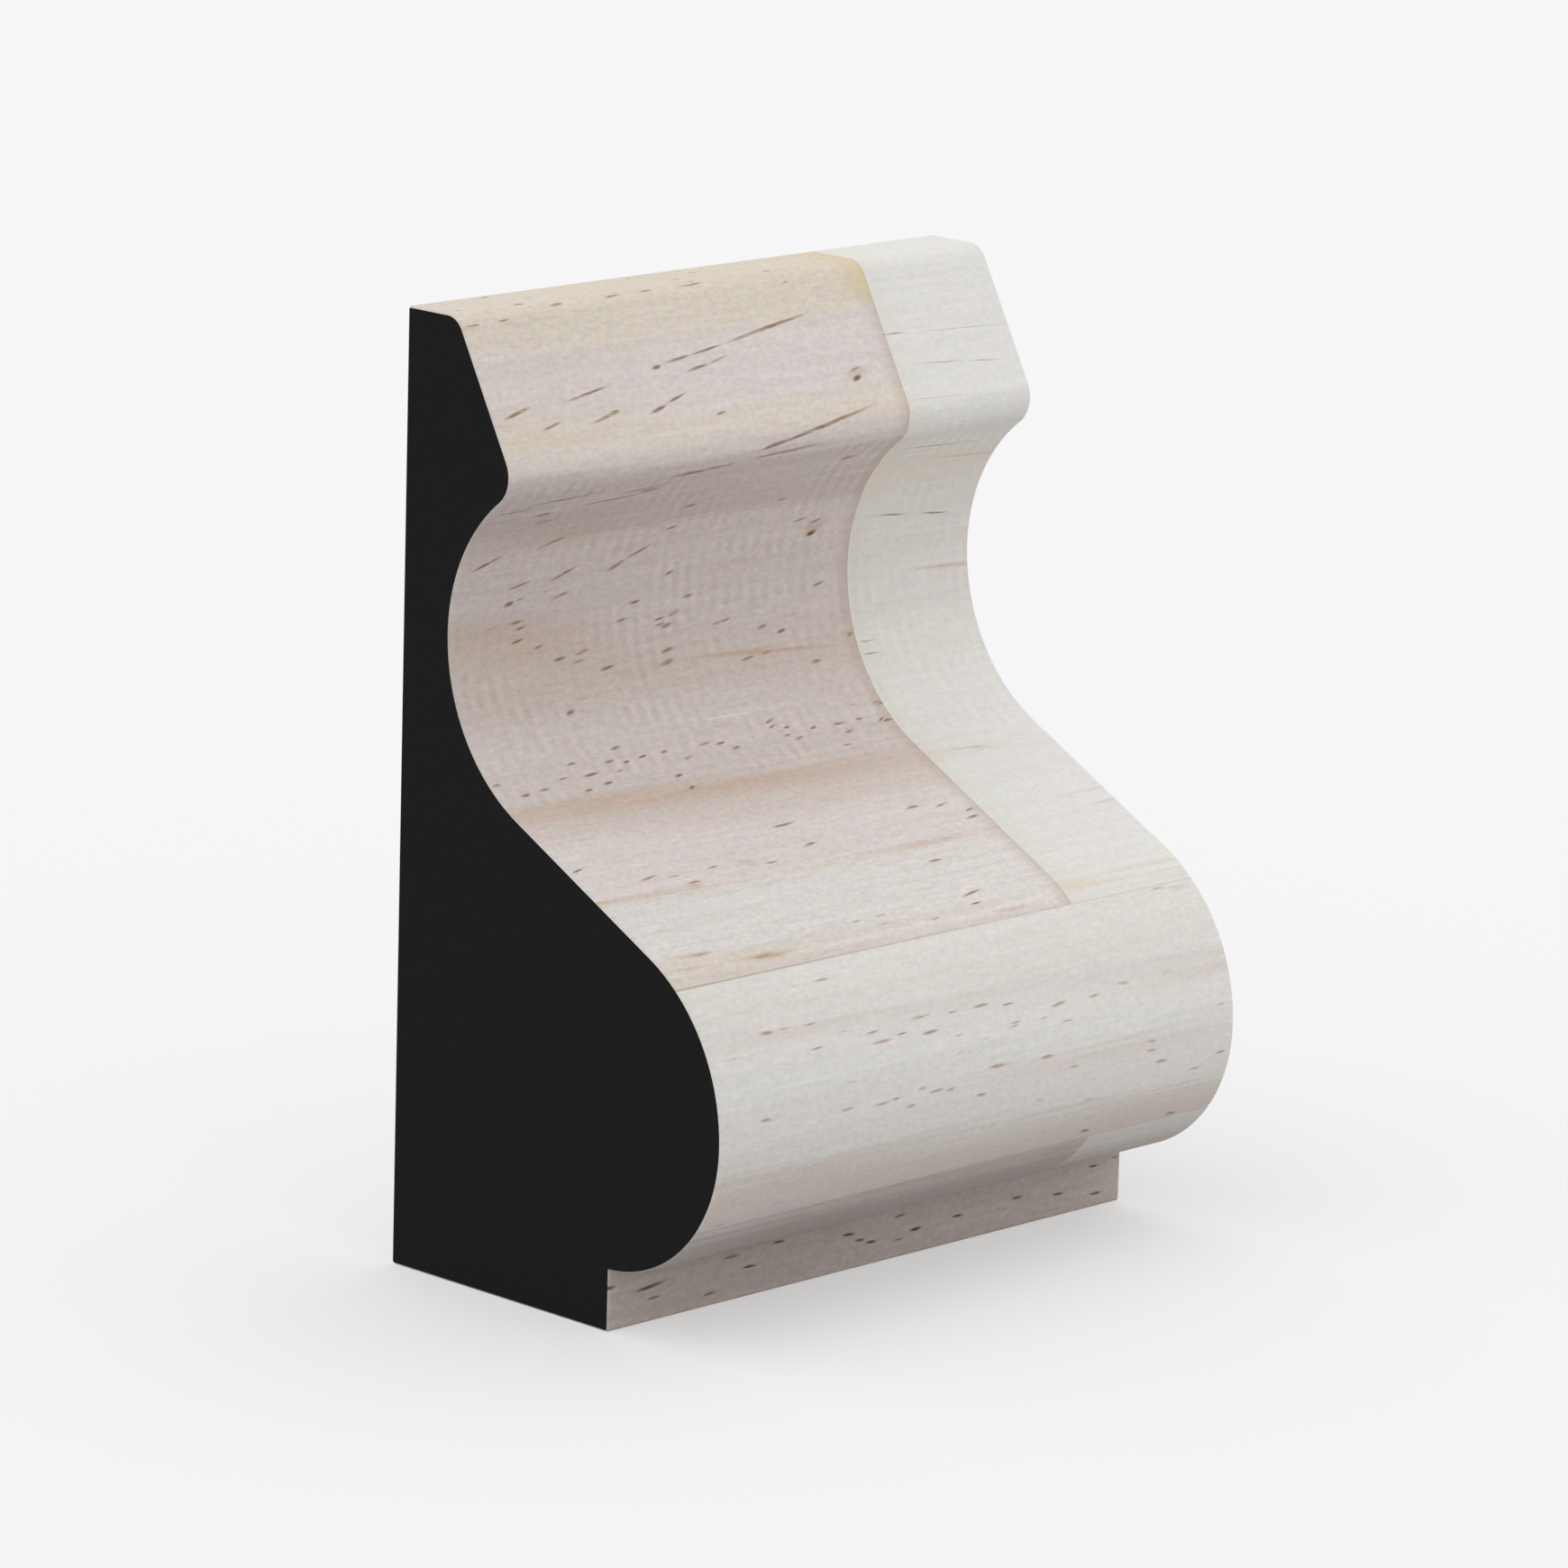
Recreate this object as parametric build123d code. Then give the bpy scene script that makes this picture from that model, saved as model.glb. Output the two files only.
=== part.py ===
"""Inlay moulding: a short length of softwood trim with an ogee face and a rebated foot.

The piece is one run of a single section, so the section is drawn once and pushed along X.
Frame: X runs along the moulding, the flat back faces +Y, the moulded face looks to -Y and
+Z is up. The origin is under the middle of the piece, on the floor that its foot stands on.
"""
import os
from math import cos, radians, sin

from build123d import *

# Driving dimensions in millimetres: depths are measured forward from the flat back,
# heights up from the foot
length = 50.0
height = 66.0
depth = 31.3

# The top: a flat, a rounded arris and the slope that leads forward to the nose
top_depth = 4.85
top_round = 1.7
nose_depth = 10.85
nose_height = 55.05
nose_round = 2.3

# The ogee: a cove drawn in to the waist and an ovolo that swells out to the full depth,
# two arcs of equal radius with a straight between them
waist_depth = 4.55
waist_height = 44.55
belly_height = 14.75
ogee_slope_deg = 27.7

# The rebate under the ovolo leaves a tongue, which is the foot of the piece
tongue_depth = 21.2
rebate_height = 4.25


def ogee_radius() -> float:
    """Radius that joins the upright waist to the upright belly at the straight's slope."""
    turn = radians(90 - ogee_slope_deg)
    drop = waist_height - belly_height
    reach = depth - waist_depth
    return (drop * sin(turn) - reach * cos(turn)) / (2 * (1 - cos(turn)))


def moulding_section() -> Sketch:
    """The section, with x forward from the back and y up from the foot."""
    top_corner = Vector(top_depth, height)
    nose = Vector(nose_depth, nose_height)
    waist = Vector(waist_depth, waist_height)
    belly = Vector(depth, belly_height)
    rebate_corner = Vector(tongue_depth, rebate_height)

    # Each ogee arc turns from upright to the slope of the straight
    turn = radians(90 - ogee_slope_deg)
    radius = ogee_radius()
    arc_step = Vector(radius * (1 - cos(turn)), -radius * sin(turn))
    cove_end = waist + arc_step
    ovolo_start = belly - arc_step

    up, down = (0, 1), (0, -1)
    outline = Curve() + [
        TangentArc(waist, nose, tangent=up),
        TangentArc(waist, cove_end, tangent=down),
        Line(cove_end, ovolo_start),
        TangentArc(belly, ovolo_start, tangent=up),
        TangentArc(belly, rebate_corner, tangent=down),
        Polyline(rebate_corner, (tongue_depth, 0), (0, 0), (0, height), top_corner, nose),
    ]
    section = make_face(outline)
    for corner, radius in ((top_corner, top_round), (nose, nose_round)):
        section = fillet(section.vertices().sort_by_distance(corner)[0], radius)
    return section


def inlay_moulding() -> Part:
    """The section pushed half the length each way from the middle of the piece."""
    section_plane = Plane(origin=(0, depth / 2, 0), x_dir=(0, -1, 0), z_dir=(-1, 0, 0))
    return extrude(section_plane * moulding_section(), amount=length / 2, both=True)


os.makedirs("parts", exist_ok=True)
export_step(inlay_moulding(), "parts/inlay_moulding.step")
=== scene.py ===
"""Looks of a short length of pine inlay moulding, run from a blank of glued blocks.

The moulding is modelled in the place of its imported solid: the section is drawn with extrude and
spin, filled, pushed along the length, eased at its ends and scored where the blank was glued.
Its finishes are planed pine and a black sealer on the sawn ends. Lengths in the classes are in
millimetres, and MM turns them into the metres of the scene.
"""
import logging
import math
from collections.abc import Callable
from dataclasses import dataclass
from enum import Enum

import bpy
from bpy.types import Material, MeshPolygon, Node, NodeSocket, NodeTree, Object
from mathutils import Matrix, Vector


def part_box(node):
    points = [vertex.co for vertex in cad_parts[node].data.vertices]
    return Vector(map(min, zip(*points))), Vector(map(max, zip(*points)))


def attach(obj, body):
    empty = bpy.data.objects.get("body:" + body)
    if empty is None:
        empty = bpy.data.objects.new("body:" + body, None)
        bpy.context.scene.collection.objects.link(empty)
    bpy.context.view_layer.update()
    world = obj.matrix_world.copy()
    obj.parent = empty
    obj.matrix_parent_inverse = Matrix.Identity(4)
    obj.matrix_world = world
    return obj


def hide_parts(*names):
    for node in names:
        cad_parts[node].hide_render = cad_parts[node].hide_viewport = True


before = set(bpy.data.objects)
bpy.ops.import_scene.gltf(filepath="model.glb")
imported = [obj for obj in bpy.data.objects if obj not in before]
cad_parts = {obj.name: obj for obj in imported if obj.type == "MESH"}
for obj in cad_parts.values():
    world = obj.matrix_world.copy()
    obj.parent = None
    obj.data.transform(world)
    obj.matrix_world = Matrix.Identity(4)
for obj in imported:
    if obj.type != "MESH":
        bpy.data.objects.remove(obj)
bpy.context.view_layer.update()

MM = 0.001
NODE = "inlay_moulding"
BODY = "root"
PHOTO_PX = 1740
# Settings of a Mix node that mixes two colours
COLOURS = {"out": "Result", "data_type": "RGBA"}
LOG = logging.getLogger("inlay_moulding")


def linear(hex_colour: str) -> tuple[float, float, float, float]:
    """Turn an sRGB hex colour into the linear colour that a shader socket takes.

    Args:
        hex_colour: Six hex digits, with or without a leading hash.

    Returns:
        Red, green, blue and alpha, with alpha 1.
    """
    digits = hex_colour.lstrip("#")
    parts = [int(digits[place:place + 2], 16) / 255 for place in (0, 2, 4)]
    # The sRGB curve: straight near black, and a power above
    red, green, blue = (c / 12.92 if c <= 0.04045 else ((c + 0.055) / 1.055) ** 2.4 for c in parts)
    return red, green, blue, 1.0


def add_node(tree: NodeTree, kind: str, inputs: dict | None = None, out: int | str = 0,
             **settings) -> NodeSocket:
    """Add one shader node to a tree, set it and link it.

    Args:
        tree: The tree that takes the node.
        kind: The node's type without the word ShaderNode, such as Math.
        inputs: Input name or number to a value, or to an output that is linked there.
        out: Name or number of the output to hand back.
        **settings: Properties of the node itself, such as its operation.

    Returns:
        The chosen output, or for a node with no outputs its first input.
    """
    node = tree.nodes.new("ShaderNode" + kind)
    for name, value in settings.items():
        setattr(node, name, value)
    for key, value in (inputs or {}).items():
        if isinstance(value, NodeSocket):
            tree.links.new(value, node.inputs[key])
        else:
            node.inputs[key].default_value = value
    return node.outputs[out] if len(node.outputs) else node.inputs[0]


def new_material(name: str) -> tuple[Material, NodeTree]:
    """Make an empty node material.

    Args:
        name: The material's name.

    Returns:
        The material and its empty tree.
    """
    material = bpy.data.materials.new(name)
    material.use_nodes = True
    material.node_tree.nodes.clear()
    return material, material.node_tree


def select_faces(piece: Object, chosen: Callable[[MeshPolygon], bool]) -> None:
    """Open a piece in edit mode with only the chosen faces selected.

    Args:
        piece: The mesh object to open.
        chosen: Says whether a face is wanted, from its centre or normal.
    """
    bpy.ops.object.mode_set(mode="EDIT")
    bpy.ops.mesh.select_mode(type="FACE")
    bpy.ops.mesh.select_all(action="DESELECT")
    bpy.ops.object.mode_set(mode="OBJECT")
    for face in piece.data.polygons:
        face.select = chosen(face)
    bpy.ops.object.mode_set(mode="EDIT")


@dataclass(frozen=True)
class Stroke:
    """One stroke of an outline: a straight run to its end, or an arc about a centre."""

    end: Vector
    centre: Vector | None = None


@dataclass(frozen=True)
class MouldingSection:
    """Sizes of the section: depths forward from the flat back, heights up from the foot."""

    depth: float
    height: float
    top_depth: float = 4.85
    top_round: float = 1.7
    nose_depth: float = 10.85
    nose_height: float = 55.05
    nose_round: float = 2.3
    waist_depth: float = 4.55
    waist_height: float = 44.55
    belly_height: float = 14.75
    ogee_slope_deg: float = 27.7
    tongue_depth: float = 21.2
    rebate_height: float = 4.25
    arris_ease: float = 0.25

    def start(self) -> Vector:
        """Where the outline starts: on the back, just over the eased foot."""
        return Vector((0, self.arris_ease))

    def strokes(self) -> list[Stroke]:
        """Work out the outline, up the back, over the top, down the face and home along the foot.

        Returns:
            The strokes in order, which end where they start.
        """
        ease = self.arris_ease
        top = Vector((self.top_depth, self.height))
        nose = Vector((self.nose_depth, self.nose_height))
        waist = Vector((self.waist_depth, self.waist_height))
        belly = Vector((self.depth, self.belly_height))
        rebate = Vector((self.tongue_depth, self.rebate_height))

        # The rounded arris between the top and the slope down to the nose
        along_top, down_slope = Vector((-1, 0)), (nose - top).normalized()
        half_angle = along_top.angle(down_slope) / 2
        tangent = self.top_round / math.tan(half_angle)
        bisector = (along_top + down_slope).normalized()
        arris_centre = top + bisector * self.top_round / math.sin(half_angle)

        # The rounded nose touches the slope and, from outside, the cove's upper arc
        cove_radius = self.upright_radius(waist, nose)
        cove_centre = waist + Vector((cove_radius, 0))
        inward = Vector((down_slope.y, -down_slope.x))
        offset = nose + inward * self.nose_round - cove_centre
        lean = offset.dot(down_slope)
        reach = cove_radius + self.nose_round
        slide = -lean - math.sqrt(lean ** 2 - offset.length_squared + reach ** 2)
        nose_start = nose + down_slope * slide
        nose_centre = nose_start + inward * self.nose_round
        nose_end = cove_centre + (nose_centre - cove_centre) * cove_radius / reach

        # The ogee's two equal arcs, from upright to the slope of the straight between them
        turn = math.radians(90 - self.ogee_slope_deg)
        drop, forward = waist.y - belly.y, belly.x - waist.x
        radius = (drop * math.sin(turn) - forward * math.cos(turn)) / (2 * (1 - math.cos(turn)))
        arc_step = Vector((radius * (1 - math.cos(turn)), -radius * math.sin(turn)))
        lip_radius = self.upright_radius(belly, rebate)

        return [
            Stroke(Vector((0, self.height - ease))),
            Stroke(Vector((ease, self.height)), Vector((ease, self.height - ease))),
            Stroke(top + along_top * tangent),
            Stroke(top + down_slope * tangent, arris_centre),
            Stroke(nose_start),
            Stroke(nose_end, nose_centre),
            Stroke(waist, cove_centre),
            Stroke(waist + arc_step, waist + Vector((radius, 0))),
            Stroke(belly - arc_step),
            Stroke(belly, belly - Vector((radius, 0))),
            Stroke(rebate, belly - Vector((lip_radius, 0))),
            Stroke(Vector((self.tongue_depth, ease))),
            Stroke(Vector((self.tongue_depth - ease, 0)), Vector((self.tongue_depth - ease, ease))),
            Stroke(Vector((ease, 0))),
            Stroke(self.start(), Vector((ease, ease))),
        ]

    @staticmethod
    def upright_radius(upright: Vector, end: Vector) -> float:
        """Find the radius of the arc that leaves a point upright and passes through another.

        Args:
            upright: The point where the arc's tangent is upright.
            end: The other point on the arc.

        Returns:
            The radius, in millimetres.
        """
        chord = end - upright
        return chord.length_squared / (2 * abs(chord.x))


@dataclass(frozen=True)
class GlueLines:
    """Where the blank's pine blocks meet: heights up from the foot, the joint along X."""

    upper_height: float = 24.5
    lower_height: float = 8.6
    joint_x: float = 12.75
    score_width: float = 0.1
    score_depth: float = 0.04


GLUE = GlueLines()


@dataclass(frozen=True)
class Grain:
    """One scale of the grain: length and width of its fibres, and how far they shade the wood."""

    length: float
    width: float
    shade: float

    def noise(self, tree: NodeTree, place: NodeSocket) -> NodeSocket:
        """Lay noise as long and wide as the fibres over the wood.

        Args:
            tree: The material's tree.
            place: The place on the moulding, in millimetres.

        Returns:
            The noise, from nought to one.
        """
        stretched = add_node(tree, "Mapping", {
            "Vector": place, "Scale": (1 / self.length, 1 / self.width, 1 / self.width)})
        return add_node(tree, "TexNoise", {
            "Vector": stretched, "Scale": 1.0, "Detail": 2.0, "Roughness": 0.6})


@dataclass(frozen=True)
class WoodPlace:
    """The place on the moulding that is shaded, in millimetres, and the main grain that runs there."""

    tree: NodeTree
    place: NodeSocket
    x: NodeSocket
    y: NodeSocket
    height: NodeSocket
    streak: NodeSocket
    fibre: NodeSocket


@dataclass(frozen=True)
class LaidBlocks:
    """What the laid blocks give each place: colour, share of canals, their own shift and coarseness."""

    colour: NodeSocket
    canals: NodeSocket
    shift: NodeSocket
    coarseness: NodeSocket


class WoodTone(Enum):
    """Colours that the blank's pine runs through, pale sapwood to brown latewood, three darkened as painted
    shade.
    """

    PALE = "#E7E5E0"
    IVORY = "#E3E1DC"
    BUTTER = "#E5DED3"
    MILK = "#E8E4E0"
    CREAM = "#E2DED8"
    SHELL = "#DFDAD5"
    BLUSH = "#DED5D1"
    TAN = "#DFD4C6"
    PEACH = "#DED1C7"
    SAND = "#DBD1C7"
    # Tan with painted shade, for the flat top
    OAT = "#DBCEBC"
    FAWN = "#D8CCC5"
    RUSSET = "#D3C7BE"
    ROSE = "#D2C7C2"
    MAUVE = "#CDC2BE"
    CLAY = "#CABDB4"
    # Painted shade along the edge of the nose's shadow in the cove
    HEATHER = "#C8BCB6"
    DUSK = "#BFB3AD"
    # Pine darkened as painted shade, for the foot in the rebate under the belly's lip
    UMBER = "#BAAEA8"


@dataclass(frozen=True)
class Band:
    """A height where a block's wood has reached a tone, with the share of resin canals cut there."""

    height: float
    tone: WoodTone
    canals: float = 0.0


@dataclass(frozen=True)
class PineBlock:
    """One block of the blank, which fills all above a height and past an x that no later one takes."""

    from_height: float
    from_x: float
    # Rise of the bands for each millimetre along, and how strongly the grain shows
    lean: float
    coarseness: float
    bands: tuple[Band, ...]

    def mask(self, wood: WoodPlace) -> NodeSocket:
        """Find where the block lies.

        Args:
            wood: The place on the moulding.

        Returns:
            One inside the block and nought outside it.
        """
        above = add_node(wood.tree, "Math", {0: wood.height, 1: self.from_height}, operation="GREATER_THAN")
        past = add_node(wood.tree, "Math", {0: wood.x, 1: self.from_x}, operation="GREATER_THAN")
        return add_node(wood.tree, "Math", {0: above, 1: past}, operation="MULTIPLY")

    def ramp(self, wood: WoodPlace, grain_height: NodeSocket, full_height: float) -> Node:
        """Run the block's bands up its height, along the lean of its grain.

        Args:
            wood: The place on the moulding.
            grain_height: Height up from the foot, bent a little by the grain.
            full_height: Height of the moulding.

        Returns:
            The ramp, with the wood's colour and, as alpha, the share of canals.
        """
        along = add_node(wood.tree, "Math", {0: wood.x, 1: -self.lean, 2: grain_height},
                         operation="MULTIPLY_ADD")
        share = add_node(wood.tree, "Math", {0: along, 1: full_height}, operation="DIVIDE")
        node = add_node(wood.tree, "ValToRGB", {0: share}).node
        stops = node.color_ramp.elements
        for band in self.bands[len(stops):]:
            stops.new(band.height / full_height)
        for stop, band in zip(stops, self.bands):
            stop.position = band.height / full_height
            stop.color = (*linear(band.tone.value)[:3], band.canals)
        return node


@dataclass(frozen=True)
class InkLook:
    """How a kind of mark looks: its colours, cover, softness of edge, and how far the grain frays it."""

    rim: str
    core: str
    strength: float
    softness: float = 0.6
    fray: float = 0.0


class Ink(Enum):
    """Kinds of mark that run along the grain, in the order they are drawn."""

    STRAW = InkLook("#D6BE94", "#D6BE94", 0.11, 1.0, 3.0)
    SMOKE = InkLook("#B98C5C", "#B98C5C", 0.18, 1.0, 3.0)
    BLOOM = InkLook("#CFA692", "#CFA692", 0.12, 1.0, 3.0)
    FLUSH = InkLook("#C79C90", "#C79C90", 0.22, 1.0, 1.0)
    RING = InkLook("#BC8458", "#BC8458", 0.2, 1.0, 0.9)
    HALO = InkLook("#C0935F", "#B98850", 0.26, 1.0, 0.6)
    SCUFF = InkLook("#F2EEEA", "#F2EEEA", 0.3)
    FLECK = InkLook("#B98A5C", "#8A5C36", 0.4)
    THREAD = InkLook("#A68E74", "#765C46", 0.52)
    CANAL = InkLook("#AC8862", "#604630", 0.66)
    RESIN = InkLook("#AE8668", "#5E3220", 0.64)
    PITCH = InkLook("#8A6C4C", "#2E1D0E", 0.84)
    PIN_KNOT = InkLook("#A87A48", "#48290C", 0.9)


@dataclass(frozen=True)
class GrainMark:
    """One mark on the moulded face, a long ellipse between two ends given as x and height."""

    start_x: float
    start_height: float
    end_x: float
    end_height: float
    width: float
    # Reach through the depth, and how far the tips run on past the ends
    through: float = 1000.0
    taper: float = 1.2

    def nearness(self, tree: NodeTree, place: NodeSocket) -> NodeSocket:
        """Measure how near a place is to the mark's middle.

        Args:
            tree: The material's tree.
            place: The place on the moulding, in millimetres.

        Returns:
            One in the mark's middle, falling to nought on its edge and outside it.
        """
        run, rise = self.end_x - self.start_x, self.end_height - self.start_height
        middle = (self.start_x + run / 2, 0.0, self.start_height + rise / 2)
        within = add_node(tree, "Mapping", {
            "Vector": place, "Location": middle, "Rotation": (0.0, -math.atan2(rise, run), 0.0),
            "Scale": (math.hypot(run, rise) / 2 * self.taper, self.through, self.width / 2)},
            vector_type="TEXTURE")
        return add_node(tree, "TexGradient", {"Vector": within}, out="Fac", gradient_type="SPHERICAL")


# Where a block starts that is whole at the near end, or under the foot
NEAR_END = -30.0
UNDER_FOOT = -1.0
REBATE = MouldingSection.rebate_height

# The blocks in the order they are laid: tongue, two under the belly, the belly and two over it
PINE_BLOCKS = (
    PineBlock(UNDER_FOOT, NEAR_END, lean=0.0, coarseness=1.5, bands=(
        Band(0.0, WoodTone.CLAY), Band(0.5, WoodTone.DUSK, 0.04), Band(4.0, WoodTone.DUSK, 0.04))),
    # The foot darkens downwards into the rebate: painted shade under the belly's lip
    PineBlock(REBATE, NEAR_END, lean=0.0, coarseness=1.2, bands=(
        Band(REBATE, WoodTone.UMBER), Band(7.0, WoodTone.UMBER), Band(9.2, WoodTone.ROSE))),
    # The far foot also darkens downwards into the rebate: painted shade under the lip
    PineBlock(REBATE, GLUE.joint_x, lean=0.0, coarseness=0.6, bands=(
        Band(REBATE, WoodTone.UMBER), Band(6.0, WoodTone.CLAY), Band(7.6, WoodTone.SHELL))),
    PineBlock(GLUE.lower_height, NEAR_END, lean=-0.044, coarseness=0.85, bands=(
        Band(8.0, WoodTone.BLUSH, 0.03), Band(10.0, WoodTone.PEACH, 0.03), Band(10.4, WoodTone.PEACH),
        Band(12.0, WoodTone.CREAM), Band(12.6, WoodTone.MILK, 0.05), Band(13.2, WoodTone.MILK, 0.12),
        Band(15.8, WoodTone.MILK, 0.12), Band(16.5, WoodTone.PALE, 0.04), Band(18.3, WoodTone.PALE, 0.05),
        Band(18.9, WoodTone.MILK, 0.3), Band(20.2, WoodTone.CREAM, 0.25), Band(20.6, WoodTone.SHELL, 0.1),
        Band(21.1, WoodTone.CREAM), Band(GLUE.upper_height, WoodTone.CREAM, 0.03))),
    PineBlock(GLUE.upper_height, NEAR_END, lean=-0.018, coarseness=1.2, bands=(
        Band(GLUE.upper_height, WoodTone.SAND), Band(25.8, WoodTone.SHELL, 0.01),
        Band(26.0, WoodTone.SHELL, 0.01), Band(27.2, WoodTone.SHELL, 0.02), Band(28.3, WoodTone.SHELL),
        Band(28.6, WoodTone.SAND, 0.02), Band(28.9, WoodTone.BLUSH, 0.03), Band(30.9, WoodTone.BLUSH, 0.03),
        Band(31.5, WoodTone.FAWN), Band(32.4, WoodTone.RUSSET), Band(33.1, WoodTone.RUSSET, 0.02),
        Band(33.5, WoodTone.ROSE, 0.05), Band(35.6, WoodTone.ROSE, 0.05), Band(36.1, WoodTone.ROSE, 0.03),
        Band(37.4, WoodTone.ROSE, 0.02), Band(38.8, WoodTone.CLAY, 0.03), Band(40.2, WoodTone.CLAY, 0.04),
        Band(42.5, WoodTone.MAUVE, 0.08), Band(46.0, WoodTone.MAUVE, 0.04), Band(47.8, WoodTone.ROSE, 0.03),
        # Under the nose the bands are darkened as painted shade: fully along the shadow's edge, 50.35 to
        # 51.6, and partly up to 54.6
        Band(50.0, WoodTone.ROSE, 0.03), Band(50.35, WoodTone.HEATHER), Band(51.6, WoodTone.HEATHER),
        Band(53.0, WoodTone.ROSE), Band(54.6, WoodTone.ROSE), Band(55.4, WoodTone.BLUSH),
        Band(57.4, WoodTone.TAN), Band(58.9, WoodTone.BLUSH), Band(62.4, WoodTone.BLUSH),
        # At the flat top this block turns darker, partly as painted shade
        Band(63.4, WoodTone.TAN), Band(65.3, WoodTone.TAN, 0.03), Band(66.0, WoodTone.OAT, 0.05))),
    PineBlock(GLUE.upper_height, GLUE.joint_x, lean=-0.02, coarseness=0.7, bands=(
        Band(GLUE.upper_height, WoodTone.IVORY), Band(25.3, WoodTone.IVORY), Band(25.75, WoodTone.TAN),
        Band(26.1, WoodTone.IVORY), Band(34.0, WoodTone.IVORY), Band(40.0, WoodTone.CREAM),
        Band(41.6, WoodTone.SHELL), Band(46.0, WoodTone.SHELL), Band(49.0, WoodTone.CREAM),
        Band(51.3, WoodTone.BUTTER), Band(52.4, WoodTone.BUTTER), Band(53.6, WoodTone.PALE),
        # The step to IVORY at the flat top is painted shade
        Band(65.4, WoodTone.PALE), Band(66.0, WoodTone.IVORY))),
)

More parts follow.
